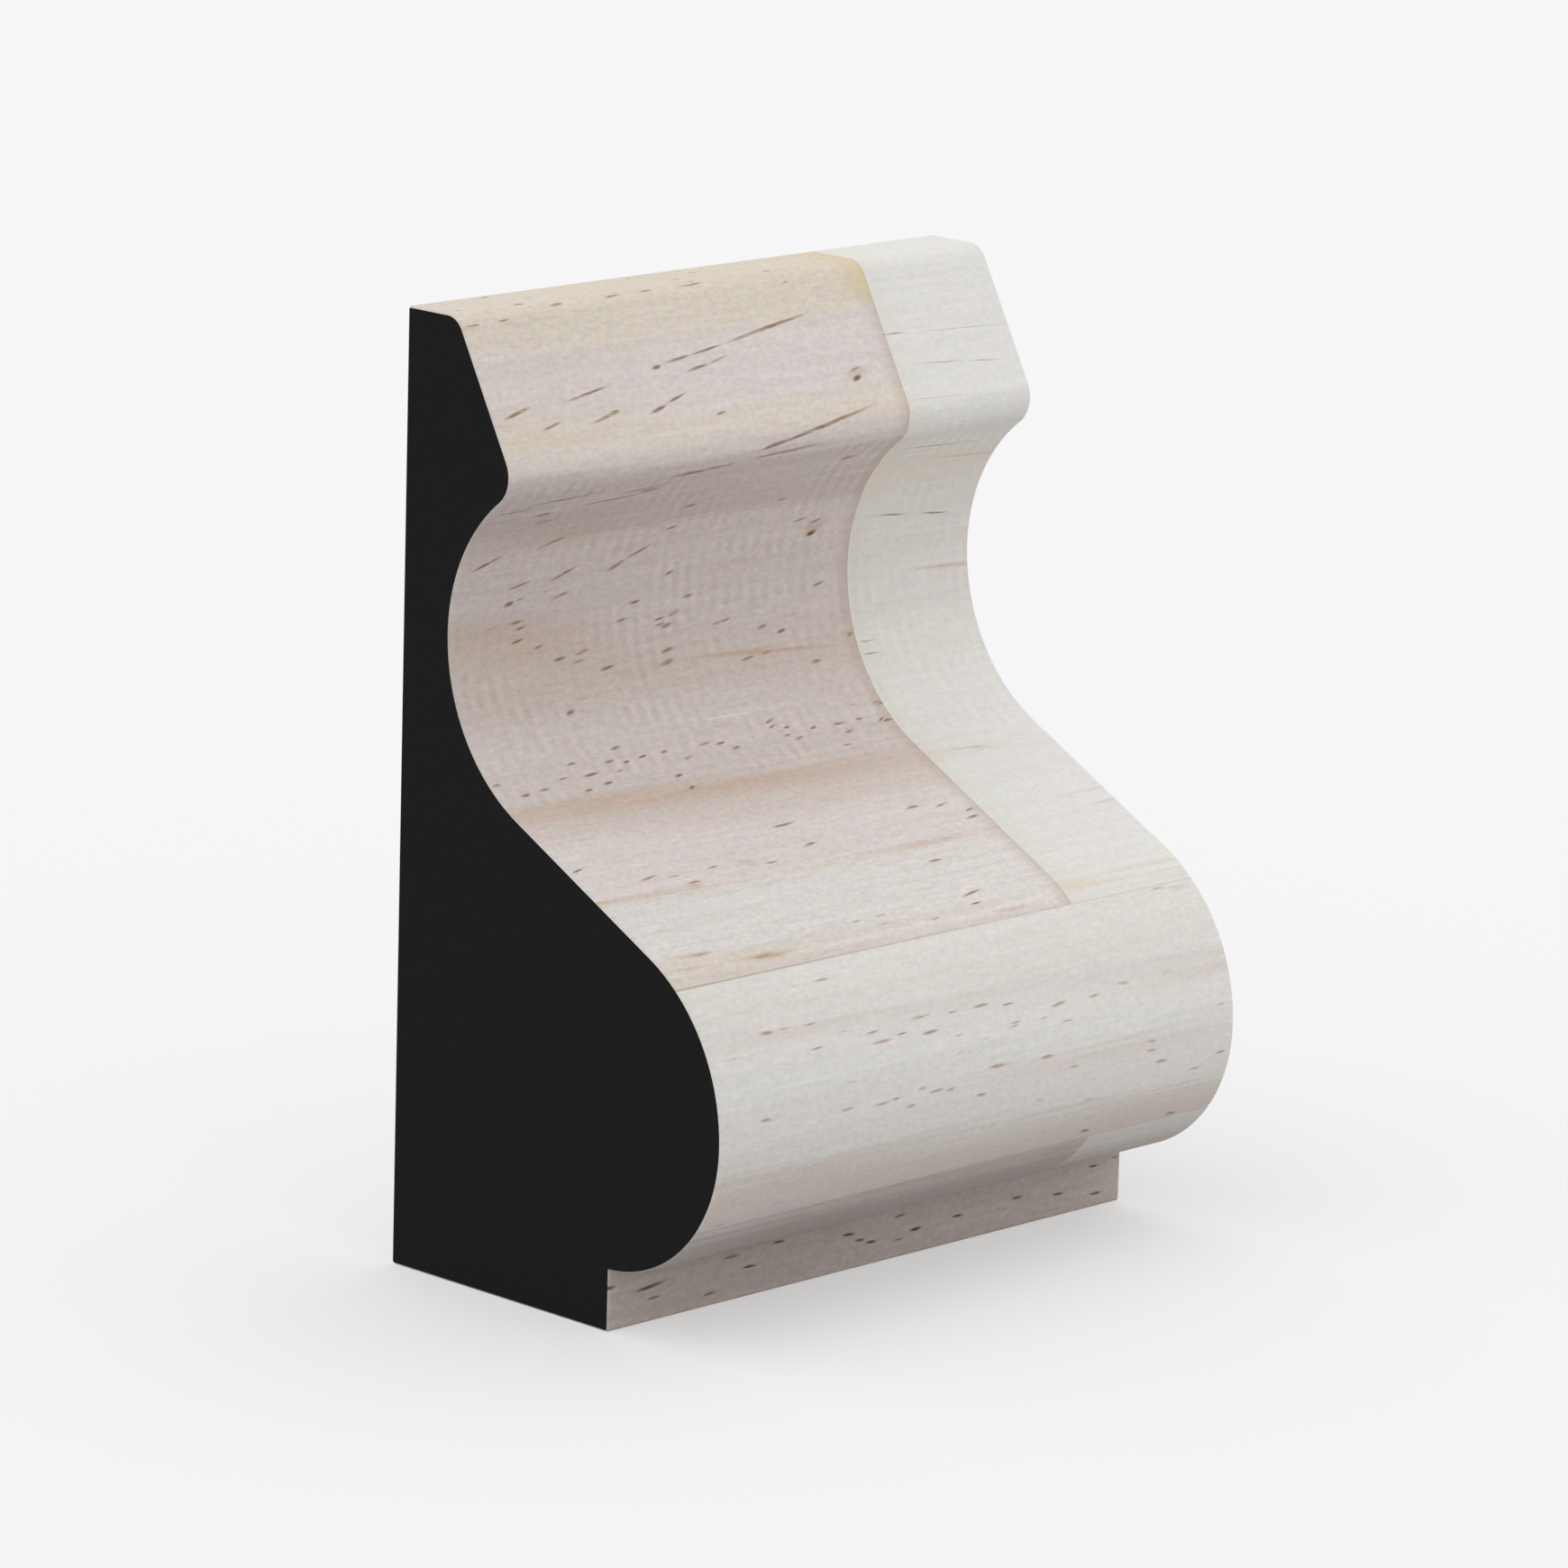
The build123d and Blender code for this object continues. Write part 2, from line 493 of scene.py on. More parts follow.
# Marks big enough to know the piece by, each as x and height of one end, of the other, and its width
PINE_MARKS: dict[Ink, tuple[tuple[float, ...], ...]] = {
    Ink.STRAW: (
        (-44.0, 58.4, -4.0, 59.2, 7.0), (-44.0, 61.0, 4.0, 63.0, 2.6), (-44.0, 25.3, -8.0, 25.2, 1.6)),
    Ink.SMOKE: (
        (-36.0, 44.2, -2.0, 41.6, 6.0), (-36.0, 49.5, 6.0, 51.0, 1.9), (19.5, 28.5, 28.0, 29.1, 0.5)),
    Ink.BLOOM: (
        (-30.0, 21.0, -4.0, 20.9, 1.4), (12.0, 19.4, 34.0, 18.8, 1.6), (-10.0, 15.4, 34.0, 14.6, 2.4),
        (0.0, 11.6, 34.0, 10.4, 1.2), (4.5, 37.3, 13.2, 36.5, 2.8), (-13.6, 27.15, -11.8, 27.05, 0.4)),
    Ink.FLUSH: (
        (8.0, 7.9, 12.74, 7.9, 1.5),),
    Ink.RING: (
        (-6.0, 40.2, 14.0, 39.25, 0.6), (-46.0, 33.6, 26.0, 32.05, 1.7), (-40.0, 29.0, -8.0, 28.7, 0.38),
        (0.0, 28.6, 11.6, 28.42, 0.38), (21.4, 24.15, 24.4, 24.1, 0.4)),
    Ink.HALO: (
        (7.2, 58.75, 10.6, 59.35, 1.2), (7.2, 47.3, 10.6, 48.2, 1.4), (-6.0, 40.2, 14.0, 39.25, 0.36),
        (-17.4, 28.85, -15.0, 28.8, 0.34), (-11.6, 29.55, -9.4, 29.1, 0.5),
        (-18.8, 25.35, -12.6, 25.2, 0.6), (-24.8, 26.05, -19.4, 25.95, 0.3),
        (-25.6, 25.5, -20.6, 25.4, 0.26), (4.6, 25.05, 10.2, 24.9, 0.4),
        (-20.4, 21.35, -18.2, 21.25, 0.5), (0.0, 16.05, 3.4, 15.85, 0.56), (5.2, 15.75, 7.2, 15.65, 0.44),
        (17.0, 51.9, 28.0, 51.4, 0.4), (17.5, 43.5, 28.0, 43.0, 0.44), (12.4, 32.5, 21.0, 32.1, 0.14)),
    Ink.SCUFF: (
        (-4.8, 36.3, 1.4, 36.2, 0.22),),
    Ink.FLECK: (
        (-19.9, 21.3, -18.6, 21.25, 0.34), (-6.2, 20.2, -4.8, 20.15, 0.3), (6.9, 18.95, 8.7, 19.1, 0.34),
        (13.7, 19.4, 15.1, 19.35, 0.3), (-10.4, 19.2, -8.2, 19.25, 0.28),
        (-21.4, 16.0, -20.2, 16.0, 0.34), (-13.9, 15.4, -12.5, 15.45, 0.36),
        (-7.7, 14.55, -6.6, 14.65, 0.34), (-9.1, 15.3, -8.1, 15.35, 0.26),
        (-6.5, 15.6, -5.7, 15.65, 0.26), (-4.0, 15.05, -2.8, 15.15, 0.34), (-0.9, 14.2, 0.2, 14.2, 0.34),
        (0.3, 15.95, 2.2, 15.9, 0.4), (5.4, 15.75, 6.7, 15.75, 0.36), (8.2, 14.6, 9.3, 14.65, 0.3),
        (16.0, 15.1, 17.2, 15.05, 0.3), (16.0, 14.45, 17.2, 14.4, 0.34), (17.0, 13.5, 18.4, 13.45, 0.42),
        (-6.9, 25.9, -5.9, 25.9, 0.14), (-4.6, 25.9, -3.4, 25.95, 0.14), (-4.8, 25.5, -3.8, 25.55, 0.14),
        (-0.4, 25.25, 0.8, 25.3, 0.12), (-17.9, 29.4, -16.5, 29.4, 0.12),
        (-22.2, 25.95, -19.6, 25.9, 0.2), (-18.0, 25.32, -14.0, 25.22, 0.26)),
    Ink.THREAD: (
        (-3.0, 54.45, 5.2, 54.95, 0.36), (-9.6, 54.0, -5.4, 54.2, 0.42), (-11.4, 53.0, -9.0, 53.15, 0.34),
        (7.9, 53.0, 9.6, 53.2, 0.5), (-20.2, 52.3, -18.6, 52.5, 0.36), (-19.9, 51.65, -17.9, 51.85, 0.36),
        (-22.5, 53.3, -14.5, 53.7, 0.24), (-17.0, 52.6, -9.5, 52.9, 0.24),
        (-24.6, 52.9, -20.4, 53.1, 0.2), (-6.8, 54.2, -3.2, 54.4, 0.3), (-13.8, 53.1, -7.6, 53.5, 0.24),
        (-18.3, 49.6, -15.5, 50.3, 0.34), (12.3, 61.2, 15.0, 61.15, 0.15), (14.0, 61.1, 27.0, 60.7, 0.04),
        (14.8, 59.1, 19.8, 58.85, 0.09), (19.8, 58.8, 23.2, 58.6, 0.09), (12.9, 56.9, 19.0, 56.75, 0.06),
        (12.9, 53.1, 22.8, 52.8, 0.13), (12.9, 39.2, 14.8, 39.15, 0.15), (12.9, 38.4, 14.8, 38.3, 0.15),
        (-9.8, 43.35, -8.4, 43.5, 0.26), (0.1, 42.1, 1.3, 42.3, 0.3), (3.4, 39.55, 4.8, 39.7, 0.28),
        (4.0, 50.3, 5.2, 50.5, 0.3)),
    Ink.CANAL: (
        (-24.8, 65.25, -23.2, 65.3, 0.18), (-21.8, 65.3, -20.6, 65.35, 0.18),
        (-16.6, 65.75, -15.2, 65.8, 0.18), (-11.6, 65.8, -9.8, 65.85, 0.14),
        (-8.3, 65.8, -6.8, 65.85, 0.12), (-4.6, 65.8, -2.0, 65.9, 0.14), (-24.2, 59.4, -21.3, 60.0, 0.32),
        (-16.7, 58.4, -13.6, 59.0, 0.3), (-14.9, 58.75, -13.6, 59.0, 0.4),
        (-21.2, 58.45, -19.0, 58.85, 0.28), (-5.3, 57.85, -4.2, 57.95, 0.24),
        (-9.7, 61.15, -8.6, 61.3, 0.4), (8.2, 59.2, 9.6, 59.5, 0.3), (8.1, 48.0, 9.6, 48.4, 0.34),
        (-5.4, 51.0, -4.0, 51.2, 0.32), (-20.2, 46.85, -17.8, 47.3, 0.24),
        (-20.2, 45.75, -19.1, 46.0, 0.5), (-15.8, 45.65, -14.0, 46.05, 0.34),
        (-5.3, 46.0, -4.2, 46.3, 0.3), (-19.8, 44.4, -18.2, 44.6, 0.34), (-19.1, 44.0, -17.9, 44.15, 0.3),
        (-19.5, 43.1, -18.1, 43.35, 0.3), (-17.5, 42.5, -16.3, 42.7, 0.28),
        (-15.8, 41.5, -14.4, 41.65, 0.34), (-13.8, 41.6, -12.2, 41.9, 0.34),
        (-8.4, 44.4, -7.2, 44.6, 0.26), (-3.4, 44.2, -2.2, 44.4, 0.34), (-4.9, 43.1, -3.5, 43.4, 0.34),
        (-5.6, 42.4, -4.2, 42.7, 0.44), (-6.0, 40.75, -4.3, 41.05, 0.36), (-6.3, 39.95, -4.5, 40.3, 0.44),
        (3.5, 41.2, 4.7, 41.4, 0.34), (5.3, 40.7, 6.4, 40.9, 0.32), (7.8, 38.4, 9.0, 38.55, 0.32),
        (11.9, 39.75, 12.7, 39.9, 0.44), (-15.8, 38.05, -14.7, 38.25, 0.44),
        (-5.9, 30.6, -3.2, 30.65, 0.16), (6.4, 30.2, 8.1, 30.3, 0.18), (-4.9, 29.5, -3.3, 29.6, 0.18),
        (10.6, 29.25, 12.2, 29.35, 0.17), (9.2, 30.05, 10.6, 30.15, 0.14), (11.3, 29.6, 12.3, 29.7, 0.13),
        (-20.2, 29.5, -18.2, 29.6, 0.13), (-24.8, 30.4, -23.4, 30.5, 0.14),
        (3.8, 25.95, 6.2, 26.15, 0.15), (14.6, 47.85, 18.8, 47.5, 0.17), (19.4, 47.45, 22.8, 47.15, 0.17),
        (11.2, 9.3, 12.4, 9.2, 0.36), (20.1, 8.9, 21.5, 8.8, 0.34), (-23.2, 34.1, -22.1, 34.15, 0.24),
        (-21.4, 34.18, -20.3, 34.22, 0.21), (-24.9, 34.85, -24.0, 34.9, 0.24),
        (-17.8, 35.2, -16.7, 35.28, 0.21), (-17.8, 33.73, -16.8, 33.8, 0.21),
        (-15.8, 33.9, -14.7, 33.98, 0.21), (-14.5, 34.98, -13.3, 35.05, 0.21),
        (-13.3, 35.6, -12.2, 35.7, 0.24), (-12.9, 34.8, -12.1, 34.85, 0.20),
        (-11.4, 34.9, -10.4, 34.98, 0.20), (-9.2, 34.93, -8.4, 35.0, 0.24),
        (-9.5, 33.62, -8.5, 33.68, 0.21), (-9.2, 32.95, -8.4, 33.05, 0.21),
        (-7.6, 34.38, -6.5, 34.5, 0.21), (-5.7, 34.92, -4.3, 35.02, 0.21),
        (-4.2, 34.8, -3.0, 34.88, 0.21), (-3.0, 34.42, -2.0, 34.52, 0.21),
        (-13.9, 34.4, -13.1, 34.48, 0.15), (1.3, 35.45, 2.3, 35.62, 0.24), (1.4, 35.15, 2.3, 35.3, 0.24),
        (2.6, 34.98, 3.4, 35.03, 0.20), (2.2, 34.55, 3.1, 34.62, 0.15), (2.9, 34.27, 4.0, 34.38, 0.21),
        (4.9, 34.7, 5.7, 34.78, 0.24), (7.1, 34.68, 8.5, 34.73, 0.23), (7.7, 34.15, 8.7, 34.28, 0.24),
        (9.4, 34.7, 10.3, 34.77, 0.18), (11.3, 34.4, 12.2, 34.6, 0.18), (11.7, 34.35, 12.6, 34.45, 0.17),
        (12.2, 35.3, 12.9, 35.4, 0.18)),
    Ink.RESIN: (
        (-8.6, 61.35, -5.6, 61.7, 0.28), (-6.0, 61.65, -2.4, 62.05, 0.22), (-3.0, 62.0, 6.8, 63.3, 0.34),
        (-6.8, 60.65, -4.2, 61.0, 0.3), (-4.6, 60.95, -2.3, 61.35, 0.2), (-1.8, 55.05, 1.6, 55.65, 0.46),
        (-1.8, 55.05, 10.0, 57.1, 0.4), (-11.2, 58.5, -9.2, 58.9, 0.34), (-9.4, 58.95, -7.2, 59.45, 0.24),
        (-18.6, 59.9, -13.5, 60.6, 0.22), (-24.2, 48.5, -21.1, 49.6, 0.34),
        (-11.0, 47.0, -9.0, 47.75, 0.42), (-9.4, 47.65, -6.8, 48.6, 0.32),
        (-16.4, 46.9, -13.5, 47.9, 0.3)),
    Ink.PITCH: (
        (-22.8, 2.3, -19.4, 2.65, 0.36), (3.6, 1.7, 5.0, 1.75, 0.38), (-25.6, 3.0, -24.2, 3.1, 0.4),
        (-14.4, 3.1, -12.7, 3.05, 0.34), (-12.6, 2.1, -11.0, 2.05, 0.3), (-9.8, 3.3, -8.3, 3.25, 0.3),
        (-3.0, 2.6, -1.6, 2.5, 0.32), (-1.8, 2.0, -0.6, 1.9, 0.34), (-0.7, 1.65, 0.6, 1.6, 0.34),
        (7.8, 1.95, 9.1, 1.9, 0.28), (13.8, 2.15, 15.1, 2.1, 0.32), (18.0, 1.65, 19.3, 1.6, 0.32),
        (21.8, 1.0, 23.2, 0.95, 0.34), (21.6, 3.05, 22.8, 3.0, 0.26), (24.0, 3.25, 24.9, 3.2, 0.3)),
    Ink.PIN_KNOT: (
        (8.3, 58.65, 9.3, 58.9, 0.5), (8.2, 47.2, 9.3, 47.5, 0.56)),
}


@dataclass(frozen=True)
class KnifeMarks:
    """Ripples that the moulder's knives leave in patches across the cove."""

    pitch: float = 1.25
    patch: Grain = Grain(5.0, 2.0, 0.056)
    patch_from: float = 0.44
    patch_full: float = 0.66
    cove_middle: float = 44.0
    cove_half: float = 11.0

    def ripple(self, wood: WoodPlace, coarseness: NodeSocket) -> NodeSocket:
        """Run the knives over the wood.

        Args:
            wood: The place on the moulding.
            coarseness: How coarse the grain is at each place.

        Returns:
            The ripples, from minus one to one.
        """
        tree = wood.tree
        turn = add_node(tree, "Math", {0: wood.x, 1: math.tau / self.pitch}, operation="MULTIPLY")
        ripple = add_node(tree, "Math", {0: turn}, operation="SINE")
        patch = add_node(tree, "MapRange", {
            "Value": self.patch.noise(tree, wood.place),
            "From Min": self.patch_from, "From Max": self.patch_full})
        cove = add_node(tree, "Math", {0: wood.height, 1: self.cove_middle, 2: self.cove_half},
                        operation="COMPARE")
        for amount in (patch, cove, coarseness):
            ripple = add_node(tree, "Math", {0: ripple, 1: amount}, operation="MULTIPLY")
        return ripple


@dataclass(frozen=True)
class ResinCanals:
    """Resin canals that the knives cut: needles along the grain that show as short brown dashes."""

    length: float = 2.6
    width: float = 0.38
    rim: str = "#AC8A68"
    core: str = "#684A36"
    # Reach of the core as a share of the rim's, and the share of either that has its full colour
    core_reach: float = 0.75
    full_share: float = 0.4
    # Radius in cells, and strength of the colour: the least, and what chance adds at most
    radius: float = 0.27
    radius_spread: float = 0.22
    strength: float = 0.3
    strength_spread: float = 0.32
    # The canals climb along the length, more steeply up in the cove than on the belly
    gentle_height: float = 24.0
    gentle_climb: float = 0.04
    steep_height: float = 48.0
    steep_climb: float = 0.2

    def cut(self, wood: WoodPlace, blocks: LaidBlocks,
            colour: NodeSocket) -> tuple[NodeSocket, NodeSocket]:
        """Cut the canals that lie by chance in each block.

        Args:
            wood: The place on the moulding.
            blocks: The laid blocks, whose coarseness the canals' strength follows.
            colour: The wood's colour so far.

        Returns:
            The colour with its canals, and the canals alone, from nought to one.
        """
        tree = wood.tree
        climb = add_node(tree, "MapRange", {
            "Value": wood.height, "From Min": self.gentle_height, "From Max": self.steep_height,
            "To Min": -self.gentle_climb, "To Max": -self.steep_climb})
        level = add_node(tree, "Math", {0: wood.x, 1: climb, 2: wood.height}, operation="MULTIPLY_ADD")
        cell = add_node(tree, "CombineXYZ", {"X": wood.x, "Y": wood.y, "Z": level})
        cell = add_node(tree, "Mapping", {
            "Vector": cell, "Scale": (1 / self.length, 1 / self.width, 1 / self.width)})
        cell = add_node(tree, "VectorMath", {0: cell, 1: blocks.shift}, operation="ADD")
        needle = add_node(tree, "TexVoronoi", {"Vector": cell, "Scale": 1.0}, out="Distance")
        dice = needle.node.outputs["Color"]
        chance, size, depth = add_node(tree, "SeparateColor", {0: dice}).node.outputs
        shown = add_node(tree, "Math", {0: chance, 1: blocks.canals}, operation="LESS_THAN")
        radius = add_node(tree, "Math", {0: size, 1: self.radius_spread, 2: self.radius},
                          operation="MULTIPLY_ADD")
        strength = add_node(tree, "Math", {0: depth, 1: self.strength_spread, 2: self.strength},
                            operation="MULTIPLY_ADD")
        for amount in (shown, blocks.coarseness):
            strength = add_node(tree, "Math", {0: strength, 1: amount}, operation="MULTIPLY")
        for reach, tone in ((1.0, self.rim), (self.core_reach, self.core)):
            edge = add_node(tree, "Math", {0: radius, 1: reach}, operation="MULTIPLY")
            full = add_node(tree, "Math", {0: radius, 1: reach * self.full_share}, operation="MULTIPLY")
            canals = add_node(tree, "MapRange", {
                "Value": needle, "From Min": edge, "From Max": full, "To Max": strength},
                interpolation_type="SMOOTHSTEP")
            colour = add_node(tree, "Mix", {"Factor": canals, "A": colour, "B": linear(tone)}, **COLOURS)
        return colour, canals


@dataclass(frozen=True)
class GlueStain:
    """How the glue shows: hairlines, a rim soaked into the near end grain, a fringe on the far one."""

    lines: GlueLines = GLUE
    hairline: str = "#8A705C"
    lower_strength: float = 0.2
    joint_strength: float = 0.3
    # The upper hairline fades along the length, from the first x and strength to the second
    upper_from: tuple[float, float] = (-25.0, 0.5)
    upper_to: tuple[float, float] = (5.0, 0.16)
    # The rim is thin and brown, but broad and yellow in the tan wood at the top
    rim: str = "#B3957F"
    rim_width: float = 1.3
    rim_strength: float = 0.34
    top_rim: str = "#DCC48E"
    top_width: float = 3.0
    top_strength: float = 0.6
    top_from: float = 63.0
    top_full: float = 64.2
    fringe: str = "#D2CCA8"
    fringe_width: float = 2.6
    fringe_strength: float = 0.14

    def draw(self, wood: WoodPlace, colour: NodeSocket) -> NodeSocket:
        """Draw the stains beside the butt joint, then the hairlines over them.

        Args:
            wood: The place on the moulding.
            colour: The wood's colour so far.

        Returns:
            The colour with its joints.
        """
        tree = wood.tree
        joint, upper = self.lines.joint_x, self.lines.upper_height
        above = add_node(tree, "Math", {0: wood.height, 1: upper}, operation="GREATER_THAN")
        rim_start, rim_strength, yellow = (
            add_node(tree, "MapRange", {
                "Value": wood.height, "From Min": self.top_from, "From Max": self.top_full,
                "To Min": low, "To Max": high})
            for low, high in ((joint - self.rim_width, joint - self.top_width),
                              (self.rim_strength, self.top_strength), (0.0, 1.0)))
        rim = add_node(tree, "Mix", {
            "Factor": yellow, "A": linear(self.rim), "B": linear(self.top_rim)}, **COLOURS)
        for start, strength, tone, side in (
                (rim_start, rim_strength, rim, "LESS_THAN"),
                (joint + self.fringe_width, self.fringe_strength, linear(self.fringe), "GREATER_THAN")):
            stain = add_node(tree, "MapRange", {
                "Value": wood.x, "From Min": start, "From Max": joint, "To Max": strength})
            beside = add_node(tree, "Math", {0: wood.x, 1: joint}, operation=side)
            for limit in (above, beside):
                stain = add_node(tree, "Math", {0: stain, 1: limit}, operation="MULTIPLY")
            colour = add_node(tree, "Mix", {"Factor": stain, "A": colour, "B": tone}, **COLOURS)
        return self.rule_lines(wood, colour, above)

    def rule_lines(self, wood: WoodPlace, colour: NodeSocket, above: NodeSocket) -> NodeSocket:
        """Rule the hairlines: the two along the length, and the butt joint above the upper one.

        Args:
            wood: The place on the moulding.
            colour: The wood's colour so far.
            above: One above the upper line and nought under it.

        Returns:
            The colour with its hairlines.
        """
        tree, half = wood.tree, self.lines.score_width / 2
        fading = add_node(tree, "MapRange", {
            "Value": wood.x, "From Min": self.upper_from[0], "From Max": self.upper_to[0],
            "To Min": self.upper_from[1], "To Max": self.upper_to[1]})
        butt = add_node(tree, "Math", {0: above, 1: self.joint_strength}, operation="MULTIPLY")
        for along, middle, strength in ((wood.height, self.lines.upper_height, fading),
                                        (wood.height, self.lines.lower_height, self.lower_strength),
                                        (wood.x, self.lines.joint_x, butt)):
            line = add_node(tree, "Math", {0: along, 1: middle, 2: half}, operation="COMPARE")
            faint = add_node(tree, "Math", {0: line, 1: strength}, operation="MULTIPLY")
            colour = add_node(tree, "Mix", {
                "Factor": faint, "A": colour, "B": linear(self.hairline)}, **COLOURS)
        return colour


@dataclass(frozen=True)
class PlanedPine:
    """Pine straight off the moulder: pale, matt, dry and unfinished."""

    # Planed softwood gives the eye soft bands of early and late wood, dashes where resin canals
    # are cut, a fine fibre along the length, faint ripples from the knives and no gloss
    full_height: float
    name: str = "planed_pine"
    knives: KnifeMarks = KnifeMarks()
    canals: ResinCanals = ResinCanals()
    glue: GlueStain = GlueStain()
    rings: Grain = Grain(40.0, 9.0, 1.6)
    wisps: float = 2.6
    streak: Grain = Grain(26.0, 0.6, 0.17)
    # Real fibres are some 0.03 mm wide, so they and the specks are drawn coarser, enough to show
    fibre: Grain = Grain(1.8, 0.28, 0.17)
    speck: Grain = Grain(0.5, 0.3, 0.24)
    speck_tint: float = 0.2
    # How far the grain shades red, green and blue, and how much paler a millimetre along is
    warmth: tuple[float, float, float] = (0.85, 1.0, 1.2)
    far_paler: float = 0.0016
    # Canals shift from block to block, so that none runs on over a joint
    block_shift: float = 7.3
    # Marks stay on the moulded face, waver a little and thin out where the fibre is low
    face_limit: float = 12.5
    wobble: float = 0.12
    wobble_length: float = 2.0
    core_edge: float = 0.25
    thin_fibre: float = 0.35
    full_fibre: float = 0.6
    thin_cover: float = 0.4
    knife_relief: float = 0.003
    fibre_relief: float = 0.012
    canal_relief: float = -0.012
    roughness: float = 0.6
    roughness_swing: float = 0.16

    def material(self) -> Material:
        """Build the material.

        Returns:
            The finished material.
        """
        material, tree = new_material(self.name)
        spot = add_node(tree, "TexCoord", out="Object")
        place = add_node(tree, "VectorMath", {0: spot, "Scale": 1 / MM}, operation="SCALE")
        x, y, height = add_node(tree, "SeparateXYZ", {0: place}).node.outputs
        streak, fibre = self.streak.noise(tree, place), self.fibre.noise(tree, place)
        wood = WoodPlace(tree, place, x, y, height, streak, fibre)
        blocks = self.lay_blocks(wood)
        knife = self.knives.ripple(wood, blocks.coarseness)
        colour = self.draw_grain(wood, blocks, knife)
        colour, canals = self.canals.cut(wood, blocks, colour)
        colour = self.draw_marks(wood, colour)
        colour = self.glue.draw(wood, colour)
        dull = add_node(tree, "Math", {
            0: fibre, 1: self.roughness_swing, 2: self.roughness - self.roughness_swing / 2},
            operation="MULTIPLY_ADD")
        shader = add_node(tree, "BsdfPrincipled", {
            "Base Color": colour, "Roughness": dull, "Normal": self.raise_relief(wood, canals, knife)})
        add_node(tree, "OutputMaterial", {"Surface": shader})
        return material

    def lay_blocks(self, wood: WoodPlace) -> LaidBlocks:
        """Lay the blocks of the blank one over the other, with bands bent by the rings and the streaks.

        Args:
            wood: The place on the moulding.

        Returns:
            What the blocks give each place.
        """
        tree, grain_height = wood.tree, wood.height
        rings = self.rings.noise(tree, wood.place)
        for noise, swing in ((rings, self.rings.shade), (wood.streak, self.wisps)):
            bend = add_node(tree, "Math", {0: noise, 1: swing, 2: -swing / 2}, operation="MULTIPLY_ADD")
            grain_height = add_node(tree, "Math", {0: grain_height, 1: bend}, operation="ADD")
        laid = ()
        for number, block in enumerate(PINE_BLOCKS):
            tone, canals = block.ramp(wood, grain_height, self.full_height).outputs
            over = (tone, canals, number * self.block_shift, block.coarseness)
            if not laid:
                laid = over
                continue
            mask = block.mask(wood)
            laid = tuple(add_node(tree, "Mix", {"Factor": mask, "A": lower, "B": upper}, out="Result",
                                  data_type="RGBA" if upper is tone else "FLOAT")
                         for lower, upper in zip(laid, over))
        return LaidBlocks(*laid)

    def draw_grain(self, wood: WoodPlace, blocks: LaidBlocks, knife: NodeSocket) -> NodeSocket:
        """Draw the streaks, fibres and specks of the grain and the knives' ripples over the bands.

        Args:
            wood: The place on the moulding.
            blocks: The laid blocks.
            knife: The knives' ripples, from minus one to one.

        Returns:
            The colour with its grain.
        """
        tree = wood.tree
        paler = add_node(tree, "Math", {0: wood.x, 1: self.far_paler, 2: 1.0}, operation="MULTIPLY_ADD")
        shade = add_node(tree, "Math", {0: knife, 1: self.knives.patch.shade}, operation="MULTIPLY")
        speck = self.speck.noise(tree, wood.place)
        for grain, noise in ((self.streak, wood.streak), (self.fibre, wood.fibre), (self.speck, speck)):
            swing = add_node(tree, "MapRange", {
                "Value": noise, "To Min": -grain.shade / 2, "To Max": grain.shade / 2})
            shade = add_node(tree, "Math", {0: swing, 1: blocks.coarseness, 2: shade},
                             operation="MULTIPLY_ADD")
        shade = add_node(tree, "VectorMath", {0: shade, 1: self.warmth, 2: paler}, operation="MULTIPLY_ADD")
        mean_tint = (0.5, 0.5, 0.5)
        tint = add_node(tree, "VectorMath", {0: speck.node.outputs["Color"], 1: mean_tint},
                        operation="SUBTRACT")
        depth = add_node(tree, "Math", {0: blocks.coarseness, 1: self.speck_tint}, operation="MULTIPLY")
        tint = add_node(tree, "VectorMath", {0: tint, "Scale": depth}, operation="SCALE")
        tint = add_node(tree, "VectorMath", {0: tint, 1: shade}, operation="ADD")
        return add_node(tree, "VectorMath", {0: blocks.colour, 1: tint}, operation="MULTIPLY")

    def draw_marks(self, wood: WoodPlace, colour: NodeSocket) -> NodeSocket:
        """Draw the marks of each ink on the moulded face, frayed by the streaks and broken by the fibre.

        Args:
            wood: The place on the moulding.
            colour: The wood's colour so far.

        Returns:
            The colour with its marks.
        """
        tree = wood.tree
        face = add_node(tree, "Math", {0: wood.y, 1: self.face_limit}, operation="LESS_THAN")
        broken = add_node(tree, "MapRange", {
            "Value": wood.fibre, "From Min": self.thin_fibre, "From Max": self.full_fibre,
            "To Min": self.thin_cover})
        broken = add_node(tree, "Math", {0: broken, 1: face}, operation="MULTIPLY")
        shake = add_node(tree, "TexNoise", {
            "Vector": wood.place, "Scale": 1 / self.wobble_length, "Detail": 1.0}, out="Color")
        shift = add_node(tree, "VectorMath", {
            0: shake, 1: (self.wobble,) * 3, 2: (-self.wobble / 2,) * 3}, operation="MULTIPLY_ADD")
        shaken = add_node(tree, "VectorMath", {0: wood.place, 1: shift}, operation="ADD")
        for ink in Ink:
            look = ink.value
            rise = add_node(tree, "Math", {0: wood.streak, 1: look.fray, 2: -look.fray / 2},
                            operation="MULTIPLY_ADD")
            frayed = add_node(tree, "CombineXYZ", {"Z": rise})
            frayed = add_node(tree, "VectorMath", {0: shaken, 1: frayed}, operation="ADD")
